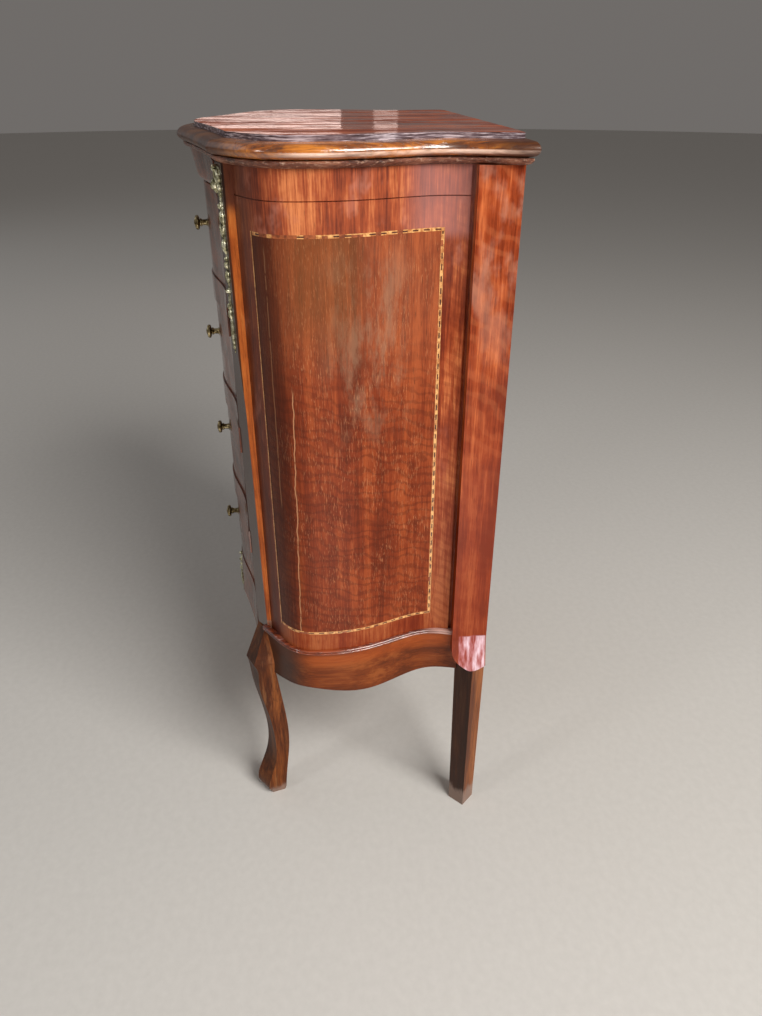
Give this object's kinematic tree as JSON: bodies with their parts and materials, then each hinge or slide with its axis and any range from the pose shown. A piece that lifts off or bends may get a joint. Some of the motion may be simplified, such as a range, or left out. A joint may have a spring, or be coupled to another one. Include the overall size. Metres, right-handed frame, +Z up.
{
  "type": "miniature chest of drawers",
  "caption": "Miniature chest of drawers with a bowed front, S-curved inlaid sides, moulded top, cabriole front legs and brass knobs.",
  "frame": {"origin": "on the floor, under the middle of the object's box", "axes": "+Z up; -Y is the drawer front; +X is the right side as seen by a person facing the front"},
  "size_m": [0.336, 0.2054, 0.51],
  "materials": {
    "top_veneer": "glossy red-brown veneer",
    "moulding_wood": "polished honey-brown moulding",
    "drawer_veneer": "glossy brown veneer",
    "border_veneer": "polished orange-red veneer",
    "field_veneer": "polished dark red-brown veneer",
    "stringing": "chequered light and dark inlay",
    "stile_veneer": "polished rippled veneer",
    "post_wood": "open-grained, worn",
    "apron_veneer": "polished brown veneer",
    "leg_wood": "worn polished wood",
    "inner_wood": "plain unpolished wood",
    "brass": "aged brass"
  },
  "bodies": {
    "case": {"top_board": "top_veneer", "top_moulding_front": "moulding_wood", "top_moulding_right": "moulding_wood", "top_moulding_left": "moulding_wood", "top_moulding_back": "moulding_wood", "cornice_bead_front": "moulding_wood", "cornice_bead_right": "moulding_wood", "cornice_bead_left": "moulding_wood", "side_veneer_right": "field_veneer", "side_veneer_left": "field_veneer", "stringing_right": "stringing", "stringing_left": "stringing", "side_panel_right": "border_veneer", "side_panel_left": "border_veneer", "side_frieze_right": "border_veneer", "side_frieze_left": "border_veneer", "front_post_right": "post_wood", "front_post_left": "post_wood", "front_leg_right": "leg_wood", "front_leg_left": "leg_wood", "rear_stile_right": "stile_veneer", "rear_stile_left": "stile_veneer", "rear_leg_right": "leg_wood", "rear_leg_left": "leg_wood", "lower_bead_right": "moulding_wood", "lower_bead_left": "moulding_wood", "side_apron_right": "apron_veneer", "side_apron_left": "apron_veneer", "front_apron": "drawer_veneer", "front_frieze": "drawer_veneer", "drawer_rail_1": "drawer_veneer", "drawer_rail_2": "drawer_veneer", "drawer_rail_3": "drawer_veneer", "drawer_runners": "inner_wood", "bottom_board": "inner_wood", "back_panel": "inner_wood", "back_rail": "inner_wood", "corner_mount_right": "brass", "corner_mount_left": "brass", "apron_mount": "brass"},
    "drawer_1": {"drawer_1_front": "drawer_veneer", "drawer_1_sides": "inner_wood", "drawer_1_back": "inner_wood", "drawer_1_bottom": "inner_wood", "drawer_1_knob": "brass"},
    "drawer_2": {"drawer_2_front": "drawer_veneer", "drawer_2_sides": "inner_wood", "drawer_2_back": "inner_wood", "drawer_2_bottom": "inner_wood", "drawer_2_knob": "brass"},
    "drawer_3": {"drawer_3_front": "drawer_veneer", "drawer_3_sides": "inner_wood", "drawer_3_back": "inner_wood", "drawer_3_bottom": "inner_wood", "drawer_3_knob": "brass"},
    "drawer_4": {"drawer_4_front": "drawer_veneer", "drawer_4_sides": "inner_wood", "drawer_4_back": "inner_wood", "drawer_4_bottom": "inner_wood", "drawer_4_knob": "brass"}
  },
  "joints": [
    {"name": "drawer_1_slide", "type": "slide", "parent": "case", "child": "drawer_1", "axis": [0, -1, 0], "range_m": [0, 0.11]},
    {"name": "drawer_2_slide", "type": "slide", "parent": "case", "child": "drawer_2", "axis": [0, -1, 0], "range_m": [0, 0.11]},
    {"name": "drawer_3_slide", "type": "slide", "parent": "case", "child": "drawer_3", "axis": [0, -1, 0], "range_m": [0, 0.11]},
    {"name": "drawer_4_slide", "type": "slide", "parent": "case", "child": "drawer_4", "axis": [0, -1, 0], "range_m": [0, 0.11]}
  ]
}
